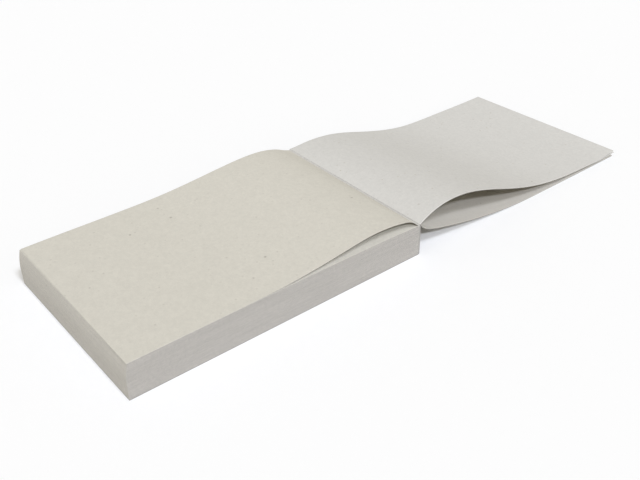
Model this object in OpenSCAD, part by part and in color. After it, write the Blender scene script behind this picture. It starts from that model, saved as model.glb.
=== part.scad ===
// Sketch pad with a soft card wrap, glued along one short edge and lying open near its front.
// The origin is the middle of the back cover's resting face, with +Y towards the binding and +Z up.

/* [Paper] */
// Width of a leaf, along the binding
page_w = 140; // [100:1:220]
// Length of a leaf, from the binding to the fore edge
page_l = 216; // [180:1:320]
// Thickness of one leaf
leaf_t = 0.22; // [0.15:0.005:0.35]
// Air between two leaves at the binding
leaf_air = 0.01; // [0.005:0.005:0.03]
// How far the top leaves puff up away from the binding
puff_h = 2.1; // [0:0.1:5]
// How far the top of the fore edge leans back
fore_lean = 2.2; // [0:0.1:4]
// How far single leaves stand back from the trimmed edges
trim_scatter = 0.08; // [0:0.01:0.2]

/* [Binding] */
// Thickness of the cover card
cover_t = 0.5; // [0.3:0.05:0.8]
// Thickness of the glue behind the leaves
glue_t = 0.8; // [0.5:0.1:1.5]
// Air between faces that are glued or folded together
seam = 0.01; // [0.005:0.005:0.03]
// Room behind the root of a leaf that turns
root_room = 0.6; // [0.3:0.05:0.8]
// Room beside the crease that the front cover turns on
crease_room = 0.05; // [0.03:0.01:0.1]

/* [Top leaf] */
// Height of the arch in the top leaf, beside the gutter
top_arch_h = 7.8; // [0:0.1:15]
// Length of the arch in the top leaf
top_arch_l = 116; // [60:1:150]

/* [Turned leaves] */
// Height of the arch in the turned leaves
turn_arch_h = 7.4; // [4:0.1:15]
// Distance over which the turned leaves come down
turn_fall_l = 141; // [120:1:170]
// Height of the flat end of the upper turned leaf above the table
turn_lift = 3.8; // [3.5:0.1:10]
// How far the lower turned leaf drops away from the upper one at the free end
turn_drop = 0.8; // [0:0.1:1.2]

/* [Front cover] */
// Distance over which the cover drapes to the table
drape_l = 122; // [80:1:140]
// Depth of the cover's sharp drop beside the spine
fold_drop = 5; // [0:0.1:6]
// Distance over which the sharp drop eases out
fold_l = 4; // [3:0.1:8]
// Height of the curl at the cover's free end
cover_curl = 0.5; // [0:0.1:1.5]
// Length of the curl at the cover's free end
curl_l = 60; // [30:1:80]

/* [Hidden] */
leaf_count = 100;
turned_count = 2;
single_count = 10;
bundle_size = 10;
bundle_count = (leaf_count - single_count) / bundle_size;

// Loose leaves under the top one that lift with it
lifting_count = 3;

leaf_pitch = leaf_t + leaf_air;
spine_y = page_l / 2;
fold_r = glue_t + cover_t;
stack_top = leaf_level(turned_count) + leaf_air;
leaf_root_back = root_room + leaf_t / 2;
cover_root_y = spine_y + glue_t + crease_room + cover_t / 2;
cover_root_z = stack_top + crease_room;
cover_l = page_l + cover_root_y - spine_y;
spine_top = cover_root_z - 2 * cover_t;

// The round root of a sheet that turns stays just inside the sheet's thickness
root_share = 0.45;
leaf_root_r = root_share * leaf_t;
cover_root_r = root_share * cover_t;

// The turned leaves fold over above the glue and the cover's crease, one on the other
first_root_y = spine_y + 0.75 * glue_t;
second_root_y = spine_y + 0.25 * glue_t;
first_root_z = cover_root_z + cover_t / 2 + seam + leaf_t / 2;
second_root_z = first_root_z + leaf_pitch;
root_step = first_root_y - second_root_y;
root_gap = second_height(root_step) - first_root_z;

// The turned leaves part along a power curve
part_power = 4;

// The drape of the cover follows a power curve
drape_power = 2.14;

// Share of the block's height above which the fore edge leans back
lean_from = 0.4;
// Angle from one leaf to the next that scatters the trimmed edges evenly
scatter_turn = 137.5;

// Steps along a curved sheet: short beside the gutter, long on the flat
short_step = 0.8;
long_step = 6;
step_growth = 0.15;
block_steps = 16;

paper_color = "#d2cec3";
turned_color = "#d7d6d1";
cover_color = "#c6c2ba";
glue_color = "#a3a09b";

function padded(n, digits) =
    let (s = str(n))
    len(s) >= digits ? s : padded(str("0", s), digits);
function leaf_name(i) = str("leaf_", padded(i, 2));
function bundle_last(b) = single_count + b * bundle_size;
function bundle_first(b) = bundle_last(b) - bundle_size + 1;
function bundle_name(b) = str("leaves_", padded(bundle_first(b), 3), "_", padded(bundle_last(b), 3));

// Height of a leaf's lower face at the binding, and its share of the block's height
function leaf_level(i) = cover_t + seam + (leaf_count - i) * leaf_pitch;
function leaf_share(i) = (leaf_count - i) / (leaf_count - turned_count - 1);
function scatter(i) = trim_scatter * (1 + sin(i * scatter_turn)) / 2;
function fore_back(i) =
    fore_lean * pow(max(0, leaf_share(i) - lean_from) / (1 - lean_from), 2) + scatter(i);

// Curves over a distance t from 0 to 1: a quick swell, a lopsided arch, a smooth fall, a drape and a curl
function swell(t) = 1 - pow(1 - t, 5);
function arch(t) = t >= 1 ? 0 : 6.75 * t * pow(1 - t, 2);
function fall(t) = t >= 1 ? 0 : pow(1 - t, 2) * (1 + 2 * t);
function drape(t) = t >= 1 ? 0 : pow(1 - t, drape_power);
function curl(t) = pow(max(0, t), 2);

// Height of a block leaf's middle face, at a distance s from the binding
function puffed(i, s) = leaf_level(i) + leaf_t / 2 + puff_h * leaf_share(i) * swell(s / page_l);

// Height of each curved sheet's middle face, at a distance u from its root
function cover_height(u) =
    cover_t / 2
    + (cover_root_z - cover_t / 2 - fold_drop) * drape(u / drape_l)
    + fold_drop * exp(-u / fold_l)
    + cover_curl * curl(1 - (cover_l - u) / curl_l);
function second_height(u) =
    turn_lift
    + (second_root_z - turn_lift) * fall(u / turn_fall_l)
    + turn_arch_h * arch(u / turn_fall_l);
function first_height(u) =
    second_height(u + root_step) - root_gap - turn_drop * pow(u / page_l, part_power);
function top_height(u) =
    puffed(turned_count + 1, u + leaf_root_back) + top_arch_h * arch(u / top_arch_l);

// Points along a height curve, a step at a time, until the sheet's length is used up
function step_at(u) = min(long_step, short_step + step_growth * u);
function trace(height, left, u = 0) =
    let (
        p = [u, height(u)],
        v = u + step_at(u),
        q = [v, height(v)],
        d = norm(q - p)
    )
    d >= left ? [p, p + (q - p) * left / d] : concat([p], trace(height, left - d, v));

// A traced curve set at its root, running towards the fore edge or away from it
function away(path, root_y) = [for (p = path) [root_y + p[0], p[1]]];
function inward(path, root_y) = [for (p = path) [root_y - p[0], p[1]]];

// Outline of a sheet of thickness t along a path
function heading(path, i) =
    let (d = path[min(i + 1, len(path) - 1)] - path[max(i - 1, 0)])
    d / norm(d);
function side(path, gap) = [
    for (i = [0 : len(path) - 1])
    let (h = heading(path, i))
    path[i] + gap * [-h[1], h[0]]
];
function reversed(list) = [for (i = [len(list) - 1 : -1 : 0]) list[i]];
function sheet_outline(path, t) = concat(side(path, t / 2), reversed(side(path, -t / 2)));

// Sweeps an outline drawn in the YZ plane across the width of the pad
module across() {
    rotate([90, 0, 90])
        linear_extrude(page_w, center = true)
            children();
}

module sheet(path, t) {
    across()
        polygon(sheet_outline(path, t));
}

// A sheet that turns: its root is round about the line it turns on
module turning_sheet(path, t, root_r) {
    union() {
        sheet(path, t);
        across()
            translate(path[0])
                circle(root_r, $fn = 32);
    }
}

// The quarter of the YZ plane below and behind the fold's centre
module fold_quarter() {
    translate([spine_y, 0])
        square(fold_r);
}

module back_cover() {
    color(cover_color)
        translate([-page_w / 2, -page_l / 2, 0])
            cube([page_w, page_l - seam, cover_t]);
}

module spine_cover() {
    color(cover_color)
        across()
            union() {
                intersection() {
                    fold_quarter();
                    difference() {
                        translate([spine_y, fold_r])
                            circle(fold_r, $fn = 64);
                        translate([spine_y, fold_r])
                            circle(glue_t, $fn = 64);
                    }
                }
                translate([spine_y + glue_t, fold_r])
                    square([cover_t, spine_top - fold_r]);
            }
}

module binding_glue() {
    color(glue_color)
        across()
            union() {
                intersection() {
                    fold_quarter();
                    translate([spine_y, fold_r])
                        circle(glue_t - seam, $fn = 64);
                }
                translate([spine_y, fold_r])
                    square([glue_t - seam, stack_top - fold_r]);
            }
}

module front_cover() {
    path = trace(function(u) cover_height(u), cover_l);
    color(cover_color)
        turning_sheet(away(path, cover_root_y), cover_t, cover_root_r);
}

// The first leaf, turned over and arched close under the second
module first_leaf() {
    path = trace(function(u) first_height(u), page_l);
    color(turned_color)
        turning_sheet(away(path, first_root_y), leaf_t, leaf_root_r);
}

// The second leaf, turned over and arched beside the gutter
module second_leaf() {
    path = trace(function(u) second_height(u), page_l);
    color(turned_color)
        turning_sheet(away(path, second_root_y), leaf_t, leaf_root_r);
}

// The leaf on top of the block, arched beside the gutter
module top_leaf() {
    path = trace(function(u) top_height(u), page_l - leaf_root_back);
    color(paper_color)
        turning_sheet(inward(path, spine_y - leaf_root_back), leaf_t, leaf_root_r);
}

// Points along a leaf of the block, from one distance behind the binding to another.
// All leaves bend at the same stations, so that none cuts into its neighbour.
function block_path(i, start, end) = [
    for (s = concat(start, [for (k = [1 : block_steps - 1]) page_l * k / block_steps], end))
    [s, puffed(i, s)]
];

// A leaf under the top one that can lift with it
module lifting_leaf(i) {
    path = block_path(i, leaf_root_back, page_l - fore_back(i));
    color(paper_color)
        turning_sheet(inward(path, spine_y), leaf_t, leaf_root_r);
}

// A leaf held flat in the block
module block_leaf(i) {
    path = block_path(i, seam, page_l - fore_back(i));
    color(paper_color)
        translate([scatter(i + leaf_count) - trim_scatter / 2, 0, 0])
            sheet(inward(path, spine_y), leaf_t);
}

module leaf_bundle(b) {
    for (i = [bundle_first(b) : bundle_last(b)])
        block_leaf(i);
}

back_cover();
spine_cover();
binding_glue();
front_cover();
first_leaf();
second_leaf();
top_leaf();
for (i = [turned_count + 2 : turned_count + 1 + lifting_count])
    lifting_leaf(i);
for (i = [turned_count + 2 + lifting_count : single_count])
    block_leaf(i);
for (b = [1 : bundle_count])
    leaf_bundle(b);
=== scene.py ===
"""Sketch pad of recycled paper in a soft card wrap, lying open near its front."""
import math

import bmesh
import bpy
import numpy as np
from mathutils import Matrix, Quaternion, Vector


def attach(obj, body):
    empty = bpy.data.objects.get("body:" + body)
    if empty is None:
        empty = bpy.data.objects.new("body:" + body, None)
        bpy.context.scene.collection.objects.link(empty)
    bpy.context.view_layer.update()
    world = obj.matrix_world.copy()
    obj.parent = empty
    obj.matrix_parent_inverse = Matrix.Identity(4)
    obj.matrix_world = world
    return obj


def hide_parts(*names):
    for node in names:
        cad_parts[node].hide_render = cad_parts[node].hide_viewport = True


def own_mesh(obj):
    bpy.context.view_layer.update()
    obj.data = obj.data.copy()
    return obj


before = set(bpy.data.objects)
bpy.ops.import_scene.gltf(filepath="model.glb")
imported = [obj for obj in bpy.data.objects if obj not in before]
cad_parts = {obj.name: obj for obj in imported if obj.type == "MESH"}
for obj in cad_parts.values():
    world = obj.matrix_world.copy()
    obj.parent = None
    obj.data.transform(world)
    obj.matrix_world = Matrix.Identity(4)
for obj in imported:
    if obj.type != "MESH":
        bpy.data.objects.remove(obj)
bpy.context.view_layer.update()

MM = 0.001

# Sizes of the pad, in mm
PAGE_W = 140
LEAF_T = 0.22
CARD_T = 0.5

# Lines that the sheets turn on, as (y, z) in mm
COVER_ROOT = (109.1, 23.11)
FIRST_ROOT = (108.6, 23.48)
SECOND_ROOT = (108.2, 23.71)
TOP_ROOT = (107.29, 22.96)

# Ways along y that a sheet runs from its root
AWAY, OVER_BLOCK = 1, -1

# Cells in the grid of a sheet, the width of the narrow ones along its rim and about half its length, in mm
CELLS_ACROSS, CELLS_ALONG = 28, 110
RIM = 0.3
HALF_SHEET = 100

# Light on a level page: warm from all round, and bluer from the lamps, which makes it white
AMBIENT = (0.39, 0.36, 0.29, 1)
LAMP_COLOUR = (1, 1.049, 1.164)

# Camera, fitted to the photo: place in mm, and angles in degrees
CAMERA_PLACE = (405.29, -240.51, 329.11)
AZIMUTH, ELEVATION, ROLL = 51.633, 33.399, 1.041


# Materials

def linear(hex_colour):
    """Linear RGBA of an sRGB hex colour."""
    def channel(i):
        c = int(hex_colour[i:i + 2], 16) / 255
        return c / 12.92 if c <= 0.04045 else ((c + 0.055) / 1.055) ** 2.4
    return (channel(1), channel(3), channel(5), 1)


def add(tree, kind, inputs=None, **settings):
    """Adds a node. Each of its inputs is given a value, an output to link to, or a node, for its first output."""
    made = tree.nodes.new(kind)
    for name, value in settings.items():
        setattr(made, name, value)
    for socket, value in (inputs or {}).items():
        if isinstance(value, bpy.types.Node):
            value = value.outputs[0]
        if isinstance(value, bpy.types.NodeSocket):
            tree.links.new(value, made.inputs[socket])
        else:
            made.inputs[socket].default_value = value
    return made


def per_mm(size):
    """Texture scale, on coordinates in metres, at which a feature is about this many mm wide."""
    return 1 / (size * MM)


def new_surface(name, roughness, specular, colour, height, bump_mm):
    """A material of one Principled shader, with its colour and bump height from nodes built by the caller."""
    material = bpy.data.materials.new(name)
    material.use_nodes = True
    tree = material.node_tree
    tree.nodes.clear()
    where = add(tree, "ShaderNodeTexCoord")
    shader = add(tree, "ShaderNodeBsdfPrincipled", {
        "Base Color": colour(tree, where),
        "Roughness": roughness,
        "Specular IOR Level": specular,
        "IOR": 1.5,
    })
    bump = add(tree, "ShaderNodeBump", {
        "Height": height(tree, where), "Distance": bump_mm * MM, "Strength": 1.0})
    tree.links.new(bump.outputs["Normal"], shader.inputs["Normal"])
    add(tree, "ShaderNodeOutputMaterial", {"Surface": shader})
    return material


def clouded(tree, colour, vector, scale, depth):
    """The colour, made up to depth darker or lighter by clouds of this scale."""
    clouds = add(tree, "ShaderNodeTexNoise", {"Vector": vector, "Scale": scale, "Detail": 2.0})
    factor = add(tree, "ShaderNodeMapRange", {
        "Value": clouds, "From Min": 0.25, "From Max": 0.75, "To Min": 1 - depth, "To Max": 1 + depth})
    return add(tree, "ShaderNodeHueSaturation", {"Color": colour, "Value": factor})


def flecked(tree, colour, vector, spacing_mm, fleck_mm, fleck):
    """The colour, with flecks of another one, each of its own strength and about this far apart in the pulp."""
    cells = add(tree, "ShaderNodeTexVoronoi", {
        "Vector": vector, "Scale": per_mm(spacing_mm), "Randomness": 1.0})
    reach = fleck_mm / 2 / spacing_mm
    spot = add(tree, "ShaderNodeMapRange", {
        "Value": cells.outputs["Distance"], "From Min": 0.5 * reach, "From Max": 1.5 * reach,
        "To Min": 1.0, "To Max": 0.0})
    lot = add(tree, "ShaderNodeSeparateColor", {"Color": cells.outputs["Color"]})
    strength = add(tree, "ShaderNodeMath", {0: spot, 1: lot}, operation="MULTIPLY")
    return add(tree, "ShaderNodeMixRGB", {"Fac": strength, "Color1": colour, "Color2": linear(fleck)})


def recycled_leaf(name, upper, lower, side_cut, end_cut):
    """Uncoated recycled drawing paper, machine made and guillotined. The eye gets a dead matt sheet, faintly
    cloudy from the pulp, with a few small flecks in it. Its cut sides and ends have colours of their own, which
    on the block are painted shade: darker than the page for the gaps between its leaves."""
    def colour(tree, where):
        place = where.outputs["Object"]
        normal = add(tree, "ShaderNodeSeparateXYZ", {"Vector": where.outputs["Normal"]})
        side = add(tree, "ShaderNodeMapRange", {
            "Value": normal.outputs["Z"], "From Min": -0.1, "From Max": 0.1})
        level = add(tree, "ShaderNodeMath", {0: normal.outputs["Z"]}, operation="ABSOLUTE")
        face = add(tree, "ShaderNodeMapRange", {"Value": level, "From Min": 0.35, "From Max": 0.5})
        page = add(tree, "ShaderNodeMixRGB", {"Fac": side, "Color1": linear(lower), "Color2": linear(upper)})
        # Clouds of the pulp are 2 to 8 mm wide
        page = clouded(tree, page, place, per_mm(7.0), 0.016)
        page = clouded(tree, page, place, per_mm(2.4), 0.036)
        # Fibres are 0.05 mm wide, too fine to show, and are drawn as 0.9 mm grains
        page = clouded(tree, page, place, per_mm(0.9), 0.034)
        # Flecks are 0.5 to 1.5 mm wide
        page = flecked(tree, page, place, 5.7, 1.2, "#c3beb3")
        page = flecked(tree, page, place, 13.0, 1.5, "#aca69b")
        # On the block these cut colours are painted shade: darker than the page for the gaps between its leaves,
        # and darker on the long sides than on the ends for how the light falls on them
        across = add(tree, "ShaderNodeMath", {0: normal.outputs["X"]}, operation="ABSOLUTE")
        edge = add(tree, "ShaderNodeMixRGB", {
            "Fac": across, "Color1": linear(end_cut), "Color2": linear(side_cut)})
        # A leaf's cut edge is 0.22 mm high, too fine to show, and is drawn in streaks of 0.8 mm
        streaks = add(tree, "ShaderNodeMapping", {
            "Vector": place, "Scale": (per_mm(40), per_mm(40), per_mm(0.8))})
        edge = clouded(tree, edge, streaks, 1.0, 0.09)
        edge = clouded(tree, edge, place, per_mm(1.6), 0.07)
        return add(tree, "ShaderNodeMixRGB", {"Fac": face, "Color1": edge, "Color2": page})

    def tooth(tree, where):
        # The tooth of drawing paper is 0.2 to 0.3 mm, and is drawn 0.8 mm wide so that it shows
        return add(tree, "ShaderNodeTexNoise", {
            "Vector": where.outputs["Object"], "Scale": per_mm(0.8), "Detail": 2.0})

    return new_surface(name, 0.92, 0.25, colour, tooth, bump_mm=0.02)


def recycled_card(name, face, cut):
    """Recycled grey cover card, machine glazed. The eye gets a sheet smoother than the leaves, with longer
    fibres and a few flecks in it, and a dark, dense cut edge."""
    def colour(tree, where):
        place = where.outputs["Object"]
        normal = add(tree, "ShaderNodeSeparateXYZ", {"Vector": where.outputs["Normal"]})
        across = add(tree, "ShaderNodeMath", {0: normal.outputs["X"]}, operation="ABSOLUTE")
        fore = add(tree, "ShaderNodeMath", {0: normal.outputs["Y"], 1: -1.0}, operation="MULTIPLY")
        edge = add(tree, "ShaderNodeMath", {0: across, 1: fore}, operation="MAXIMUM")
        trimmed = add(tree, "ShaderNodeMapRange", {"Value": edge, "From Min": 0.85, "From Max": 0.95})
        card = clouded(tree, linear(face), place, per_mm(9.0), 0.025)
        # Fibres of the card are 2 to 4 mm long and 0.1 mm wide, drawn 0.6 mm wide so that they show
        laid = add(tree, "ShaderNodeMapping", {
            "Vector": place, "Rotation": (0, 0, 0.4), "Scale": (per_mm(3.0), per_mm(0.6), per_mm(0.6))})
        card = clouded(tree, card, laid, 1.0, 0.04)
        card = flecked(tree, card, place, 5.1, 1.0, "#a9a49a")
        return add(tree, "ShaderNodeMixRGB", {"Fac": trimmed, "Color1": card, "Color2": linear(cut)})

    def felt(tree, where):
        # The felt's marks in the card are 1 to 2 mm wide
        return add(tree, "ShaderNodeTexNoise", {
            "Vector": where.outputs["Object"], "Scale": per_mm(1.5), "Detail": 2.0})

    return new_surface(name, 0.8, 0.3, colour, felt, bump_mm=0.015)


def padding_glue(name, film):
    """White padding adhesive, brushed on and dried to a rubbery film. The eye gets a pale, slightly cool strip
    with a soft gloss."""
    def colour(tree, where):
        return clouded(tree, linear(film), where.outputs["Object"], per_mm(4.0), 0.04)

    def brushed(tree, where):
        # Brush marks run along the binding, 0.8 mm apart
        marks = add(tree, "ShaderNodeMapping", {
            "Vector": where.outputs["Object"], "Scale": (per_mm(25), per_mm(0.8), per_mm(0.8))})
        return add(tree, "ShaderNodeTexNoise", {"Vector": marks, "Scale": 1.0, "Detail": 1.0})

    return new_surface(name, 0.45, 0.5, colour, brushed, bump_mm=0.03)


# The block's cut colours are painted shade, darker than its pages and darkest on its long sides
block_paper = recycled_leaf(
    "uncoated_recycled_drawing_paper",
    upper="#d2cec3", lower="#d2d0cb", side_cut="#a9a5a0", end_cut="#bebab3")
turned_paper = recycled_leaf(
    "uncoated_recycled_drawing_paper_turned",
    upper="#d3d1cc", lower="#d2cec3", side_cut="#cfccc5", end_cut="#cfccc5")
wrap_card = recycled_card("machine_glazed_recycled_card", face="#c6c2ba", cut="#8f8c86")
dried_glue = padding_glue("dried_padding_adhesive", film="#a3a09b")


# The pieces

def finished(name, bm, material, thickness=None):
    """The bmesh as an object, with the thickness of a sheet where one is given."""
    mesh = bpy.data.meshes.new(name)
    bm.to_mesh(mesh)
    bm.free()
    piece = bpy.data.objects.new(name, mesh)
    bpy.context.scene.collection.objects.link(piece)
    mesh.materials.append(material)
    if thickness:
        wall = piece.modifiers.new("thickness", "SOLIDIFY")
        wall.thickness = thickness * MM
        wall.offset = 0
        wall.use_even_offset = True
    return piece


def flexed(stations):
    """Height along a flexed edge: a natural cubic spline through (distance, height) stations, in mm."""
    u, z = np.array(stations, float).T
    h, n = np.diff(u), len(stations)
    a, b = np.eye(n), np.zeros(n)
    for i in range(1, n - 1):
        a[i, i - 1:i + 2] = h[i - 1], 2 * (h[i - 1] + h[i]), h[i]
        b[i] = 6 * ((z[i + 1] - z[i]) / h[i] - (z[i] - z[i - 1]) / h[i - 1])
    bend = np.linalg.solve(a, b)

    def height(at):
        i = int(np.clip(np.searchsorted(u, at) - 1, 0, n - 2))
        p, q = u[i + 1] - at, at - u[i]
        return (
            (bend[i] * p ** 3 + bend[i + 1] * q ** 3) / (6 * h[i])
            + (z[i] / h[i] - bend[i] * h[i] / 6) * p
            + (z[i + 1] / h[i] - bend[i + 1] * h[i] / 6) * q
        )
    return height


def inside(a, segments, margin):
    """A grid line's place between -1 and 1, with the lines next to the rim moved out to a narrow margin."""
    on_rim = abs(a) > 0.9999
    return a if on_rim else a * (1 - margin) / (1 - 2 / segments)


def flexed_sheet(name, root_y, way, back, front, thickness, material, slant=0):
    """A sheet flexed along its length, away from the binding or over the block. Its back and front edges are
    each a height curve and how far the edge reaches, and the sheet runs straight between them. Its free end
    stands out to the front by the slant."""
    bm = bmesh.new()
    bmesh.ops.create_grid(bm, x_segments=CELLS_ACROSS, y_segments=CELLS_ALONG, size=1)
    for v in bm.verts:
        a = inside(v.co.x, CELLS_ACROSS, 2 * RIM / PAGE_W)
        t = (inside(v.co.y, CELLS_ALONG, RIM / HALF_SHEET) + 1) / 2
        # Cells are shortest beside the binding, where the sheet bends most
        t *= 0.5 + 0.5 * t
        share = (a + 1) / 2
        ends = [(height(t * reach), t * reach) for height, reach in (back, front)]
        z, u = (b + (f - b) * share for b, f in zip(*ends))
        x = a * PAGE_W / 2 + slant * t ** 2
        v.co = (x * MM, (root_y + way * u) * MM, z * MM)
    if way == OVER_BLOCK:
        bmesh.ops.reverse_faces(bm, faces=bm.faces)
    for face in bm.faces:
        face.smooth = True
    return finished(name, bm, material, thickness)


def flattening(piece, fall):
    """Gives a sheet a copy of its mesh as its own. The fall, an angle in degrees away from the binding, is taken
    but not used."""
    fall = math.radians(fall)
    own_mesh(piece)


# The top leaf humps beside the gutter, more at its front edge than at its back one
top_back = flexed([
    (0, 22.96), (5, 24.7), (10, 26.9), (15, 28.6), (20, 29.8), (30, 31.1), (40, 31.25), (60, 30.0),
    (80, 28.1), (100, 26.4), (120, 25.4), (140, 25.15), (165, 25.15), (190, 25.2), (214, 25.1)])
top_front = flexed([
    (0, 22.96), (5, 27.4), (10, 29.8), (15, 30.9), (20, 31.75), (30, 32.7), (40, 32.85), (60, 30.9),
    (80, 28.45), (100, 26.5), (120, 25.5), (140, 25.2), (165, 25.15), (190, 25.1), (214, 25.01)])
top_leaf = flexed_sheet(
    "top_leaf", TOP_ROOT[0], OVER_BLOCK, (top_back, 212.4), (top_front, 213.6), LEAF_T, block_paper)
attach(top_leaf, "leaf_03")
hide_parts("leaf_03")
flattening(top_leaf, fall=-1.0)

# The upper turned leaf arches beside the gutter, and its free corner curls up
upper_back = flexed([
    (0, 23.71), (5, 23.9), (10, 24.2), (20, 24.7), (30, 24.3), (40, 23.1), (50, 21.1), (60, 18.5),
    (70, 15.6), (80, 12.8), (100, 8.0), (120, 5.2), (140, 4.6), (170, 4.8), (190, 5.0), (210, 5.5)])
upper_front = flexed([
    (0, 23.71), (5, 26.6), (10, 28.9), (20, 31.55), (30, 32.45), (40, 31.95), (50, 30.25), (60, 27.65),
    (70, 24.55), (80, 21.05), (100, 14.45), (120, 9.25), (140, 5.9), (165, 4.3), (178, 4.0), (190, 3.7),
    (201, 4.2), (214, 6.0)])
upper_turned_leaf = flexed_sheet(
    "upper_turned_leaf", SECOND_ROOT[0], AWAY, (upper_back, 209.9), (upper_front, 213.3), LEAF_T, turned_paper,
    slant=1.0)
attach(upper_turned_leaf, "leaf_02")
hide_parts("leaf_02")
flattening(upper_turned_leaf, fall=5.98)


def lying_under(upper, drop):
    """Height of the lower turned leaf along an edge: close under the upper one, and dropping away from it at
    the free end, in mm."""
    free_end, suddenness = 215, 14
    step = FIRST_ROOT[0] - SECOND_ROOT[0]
    gap = upper(step) - FIRST_ROOT[1]
    return lambda at: upper(at + step) - gap - drop * (at / free_end) ** suddenness


# The lower turned leaf arches with the upper one
lower_back, lower_front = lying_under(upper_back, 0.4), lying_under(upper_front, 1.8)
lower_turned_leaf = flexed_sheet(
    "lower_turned_leaf", FIRST_ROOT[0], AWAY, (lower_back, 209.5), (lower_front, 214.4), LEAF_T, turned_paper,
    slant=1.0)
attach(lower_turned_leaf, "leaf_01")
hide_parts("leaf_01")
flattening(lower_turned_leaf, fall=6.0)


def cover_height(at):
    """Height of the cover: a sharp drop beside the spine, a long drape down to the table and a slight curl at
    the free end, in mm."""
    drop, drop_l = 4.6, 4
    drape_l, drape_power = 118, 1.9
    curl, curl_from, curl_l = 0.5, 155, 60
    return (
        CARD_T / 2
        + (COVER_ROOT[1] - CARD_T / 2 - drop) * max(0, 1 - at / drape_l) ** drape_power
        + drop * math.exp(-at / drop_l)
        + curl * max(0, (at - curl_from) / curl_l) ** 2
    )


cover_edge = (cover_height, 213.4)
cover = flexed_sheet("cover", COVER_ROOT[0], AWAY, cover_edge, cover_edge, CARD_T, wrap_card)
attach(cover, "front_cover")
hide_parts("front_cover")
flattening(cover, fall=6.2)


def binding_strip(name, outline, material):
    """A strip along the binding: an outline of (y, z) points, in mm, drawn out over the width of the pad."""
    bm = bmesh.new()
    rim = [bm.verts.new((-PAGE_W / 2 * MM, y * MM, z * MM)) for y, z in outline]
    drawn = bmesh.ops.extrude_face_region(bm, geom=[bm.faces.new(rim)])
    far_rim = [g for g in drawn["geom"] if isinstance(g, bmesh.types.BMVert)]
    bmesh.ops.translate(bm, vec=(PAGE_W * MM, 0, 0), verts=far_rim)
    bmesh.ops.recalc_face_normals(bm, faces=bm.faces)
    return finished(name, bm, material)


# The glued roots of the loose leaves close the gutter, from the top leaf up to the turned ones
gutter_roots = binding_strip("gutter_roots", [
    (107.44, 22.15), (107.99, 22.15), (107.99, 23.08), (108.3, 23.08), (108.3, 23.3), (108.12, 23.6),
    (108.0, 23.58), (107.85, 23.47), (107.6, 23.18), (107.44, 22.88)], turned_paper)
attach(gutter_roots, "block")

# The crease that joins the cover to the spine: a strip of card with a round top on the line it turns on
crease_y, crease_z = COVER_ROOT
crease_r = CARD_T / 2
crease_foot = [(crease_y - crease_r, crease_z - 4 * crease_r), (crease_y + crease_r, crease_z - 4 * crease_r)]
crease_top = [
    (crease_y + crease_r * math.cos(a), crease_z + crease_r * math.sin(a)) for a in np.linspace(0, math.pi, 13)]
cover_crease = binding_strip("cover_crease", crease_foot + crease_top, wrap_card)
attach(cover_crease, "block")

# The block's own solids keep their shapes
for node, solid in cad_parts.items():
    if node in ("back_cover", "spine_cover"):
        finish = wrap_card
    elif node == "binding_glue":
        finish = dried_glue
    else:
        finish = block_paper
    solid.data.materials.clear()
    solid.data.materials.append(finish)


# Floor, light and camera

# The floor lies just under the back cover, so that their faces don't meet
floor_half_m, floor_gap_mm = 4, 0.02
floor_mesh = bmesh.new()
bmesh.ops.create_grid(floor_mesh, x_segments=1, y_segments=1, size=floor_half_m)
bmesh.ops.translate(floor_mesh, vec=(0, 0, -floor_gap_mm * MM), verts=floor_mesh.verts)
sweep = bpy.data.materials.new("white_paper_sweep")
sweep.use_nodes = True
sweep_shader = sweep.node_tree.nodes["Principled BSDF"]
sweep_shader.inputs["Base Color"].default_value = linear("#fdfdfd")
sweep_shader.inputs["Roughness"].default_value = 0.95
sweep_shader.inputs["Specular IOR Level"].default_value = 0.1
floor = finished("floor", floor_mesh, sweep)

# Light from all round, which is itself seen as white
world = bpy.data.worlds.new("studio")
bpy.context.scene.world = world
world.use_nodes = True
sky = world.node_tree
sky.nodes.clear()
ray = add(sky, "ShaderNodeLightPath")
seen = add(sky, "ShaderNodeMath", {
    0: ray.outputs["Is Camera Ray"], 1: ray.outputs["Is Glossy Ray"]}, operation="MAXIMUM")
seen = add(sky, "ShaderNodeMath", {0: seen, 1: ray.outputs["Is Transmission Ray"]}, operation="MAXIMUM")
glow = add(sky, "ShaderNodeMixRGB", {"Fac": seen, "Color1": AMBIENT, "Color2": (1, 1, 1, 1)})
ambient = add(sky, "ShaderNodeBackground", {"Color": glow, "Strength": 1.0})
add(sky, "ShaderNodeOutputWorld", {"Surface": ambient})


def studio_lamp(name, towards, level, spread):
    """A far lamp in this direction, as wide as the spread in degrees, which lights a level page to this level."""
    lamp = bpy.data.lights.new(name, "SUN")
    way = Vector(towards).normalized()
    lamp.energy = level * math.pi / way.z
    lamp.color = LAMP_COLOUR
    lamp.angle = math.radians(spread)
    lamp_object = bpy.data.objects.new(name, lamp)
    bpy.context.scene.collection.objects.link(lamp_object)
    lamp_object.rotation_mode = "QUATERNION"
    lamp_object.rotation_quaternion = (-way).to_track_quat("-Z", "Y")


# A small lamp near the camera, and a wider one above the pad's front side
studio_lamp("camera_lamp", (0.641, -0.382, 0.62), level=0.28, spread=3)
studio_lamp("front_lamp", (0.58, 0, 0.86), level=0.33, spread=12)

camera = bpy.data.cameras.new("camera")
camera.lens, camera.sensor_width = 48.957, 36
camera_object = bpy.data.objects.new("camera", camera)
bpy.context.scene.collection.objects.link(camera_object)
azimuth, elevation, roll = (math.radians(a) for a in (AZIMUTH, ELEVATION, ROLL))
back = Vector((
    math.sin(azimuth) * math.cos(elevation), -math.cos(azimuth) * math.cos(elevation), math.sin(elevation)))
camera_object.location = Vector(CAMERA_PLACE) * MM
camera_object.rotation_mode = "QUATERNION"
camera_object.rotation_quaternion = (-back).to_track_quat("-Z", "Y") @ Quaternion((0, 0, 1), -roll)
bpy.context.scene.camera = camera_object

bpy.context.scene.view_settings.view_transform = "Standard"
